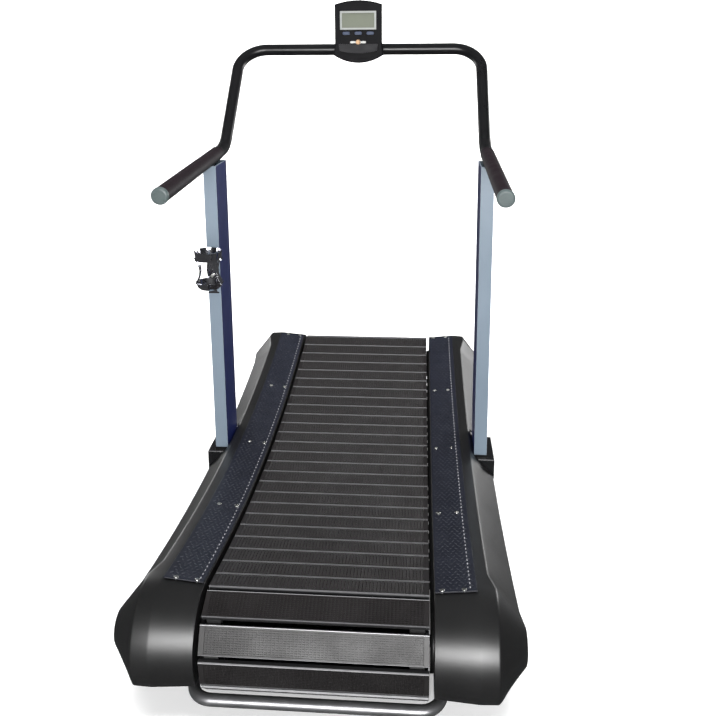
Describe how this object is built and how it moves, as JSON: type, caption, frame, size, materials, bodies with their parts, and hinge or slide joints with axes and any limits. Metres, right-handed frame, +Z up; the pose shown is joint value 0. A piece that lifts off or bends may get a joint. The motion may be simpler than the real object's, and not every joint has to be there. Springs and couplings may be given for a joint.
{
  "type": "curved manual treadmill",
  "caption": "Curved manual treadmill with an endless slatted running belt, rounded side covers, tall posts and a handrail with a small console.",
  "frame": {"origin": "on the floor under the middle of the machine's box", "axes": "+Y to the front, where the console is, +X to the user's right, +Z up"},
  "size_m": [0.896, 1.784, 1.542],
  "materials": {
    "tread": "matte, fine grooves",
    "bar": "brushed",
    "belt": "matte",
    "steel": "satin",
    "bearing": "polished",
    "frame": "satin black powder coat",
    "post": "satin blue grey",
    "cover": "satin charcoal",
    "plate": "black tread plate",
    "rail": "satin black",
    "grip": "soft foam sleeve",
    "cap": "grey",
    "console": "satin black",
    "bezel": "silver",
    "window": "display",
    "board": "circuit board",
    "button": "button",
    "brass": "silver and brass",
    "battery": "cell",
    "cage": "black chrome",
    "wheel": "wheel",
    "foot": "rubber foot",
    "zinc": "zinc plated"
  },
  "bodies": {
    "frame": {"slat_bars": "bar", "slat_treads": "tread", "left_drive_belt": "belt", "right_drive_belt": "belt", "left_side_rail": "frame", "right_side_rail": "frame", "left_base_runner": "frame", "right_base_runner": "frame", "cross_members": "frame", "left_guide_bearings": "bearing", "right_guide_bearings": "bearing", "left_bearing_studs": "zinc", "right_bearing_studs": "zinc", "shaft_bearings": "frame", "left_side_cover": "cover", "right_side_cover": "cover", "left_footplate": "plate", "right_footplate": "plate", "footplate_screws": "zinc", "left_post": "post", "right_post": "post", "left_post_bracket": "frame", "right_post_bracket": "frame", "post_collars": "rail", "bracket_bolts": "zinc", "wheel_brackets": "frame", "wheel_axles": "zinc", "rear_lift_bar": "steel", "handrail": "rail", "left_grip": "grip", "right_grip": "grip", "left_end_cap": "cap", "right_end_cap": "cap", "bottle_cage": "cage", "cage_screws": "zinc"},
    "rear_drum": {"rear_drum_shaft": "steel", "rear_pulleys": "bar"},
    "front_drum": {"front_drum_shaft": "steel", "front_pulleys": "bar"},
    "left_wheel": {"left_transport_wheel": "wheel"},
    "right_wheel": {"right_transport_wheel": "wheel"},
    "rear_left_levelling_foot": {"rear_left_foot": "foot"},
    "rear_right_levelling_foot": {"rear_right_foot": "foot"},
    "front_left_levelling_foot": {"front_left_foot": "foot"},
    "front_right_levelling_foot": {"front_right_foot": "foot"},
    "console": {"console_clamp": "console", "console_back": "console", "console_front": "console", "display_bezel": "bezel", "display_window": "window", "circuit_board": "board", "console_tray": "console", "battery_cover": "console", "batteries": "battery"},
    "wing_screw": {"console_wing_screw": "brass"},
    "left_push_button": {"left_button": "button"},
    "middle_push_button": {"middle_button": "button"},
    "right_push_button": {"right_button": "button"}
  },
  "joints": [
    {"name": "rear_drum_turn", "type": "hinge", "parent": "frame", "child": "rear_drum", "pos_m": [0, -0.768, 0.136], "axis": [1, 0, 0], "continuous": true},
    {"name": "front_drum_turn", "type": "hinge", "parent": "frame", "child": "front_drum", "pos_m": [0, 0.768, 0.136], "axis": [1, 0, 0], "continuous": true},
    {"name": "left_wheel_roll", "type": "hinge", "parent": "frame", "child": "left_wheel", "pos_m": [-0.275, 0.752, 0.034], "axis": [1, 0, 0], "continuous": true},
    {"name": "right_wheel_roll", "type": "hinge", "parent": "frame", "child": "right_wheel", "pos_m": [0.275, 0.752, 0.034], "axis": [1, 0, 0], "continuous": true},
    {"name": "rear_left_foot_height", "type": "slide", "parent": "frame", "child": "rear_left_levelling_foot", "axis": [0, 0, 1], "range_m": [-0.015, 0]},
    {"name": "rear_right_foot_height", "type": "slide", "parent": "frame", "child": "rear_right_levelling_foot", "axis": [0, 0, 1], "range_m": [-0.015, 0]},
    {"name": "front_left_foot_height", "type": "slide", "parent": "frame", "child": "front_left_levelling_foot", "axis": [0, 0, 1], "range_m": [-0.015, 0]},
    {"name": "front_right_foot_height", "type": "slide", "parent": "frame", "child": "front_right_levelling_foot", "axis": [0, 0, 1], "range_m": [-0.015, 0]},
    {"name": "console_tilt", "type": "hinge", "parent": "frame", "child": "console", "pos_m": [0, 0.52, 1.382], "axis": [1, 0, 0], "range_deg": [-20, 25]},
    {"name": "wing_screw_turn", "type": "hinge", "parent": "console", "child": "wing_screw", "pos_m": [0, 0.46, 1.406], "axis": [0, 1, 0], "range_deg": [-90, 90]},
    {"name": "left_button_press", "type": "slide", "parent": "console", "child": "left_push_button", "axis": [0, 1, 0], "range_m": [0, 0.0012], "stiffness_N_per_m": 400},
    {"name": "middle_button_press", "type": "slide", "parent": "console", "child": "middle_push_button", "axis": [0, 1, 0], "range_m": [0, 0.0012], "stiffness_N_per_m": 400},
    {"name": "right_button_press", "type": "slide", "parent": "console", "child": "right_push_button", "axis": [0, 1, 0], "range_m": [0, 0.0012], "stiffness_N_per_m": 400}
  ],
  "couplings": [
    {"joint": "front_drum_turn", "follows": "rear_drum_turn", "ratio": 1}
  ]
}
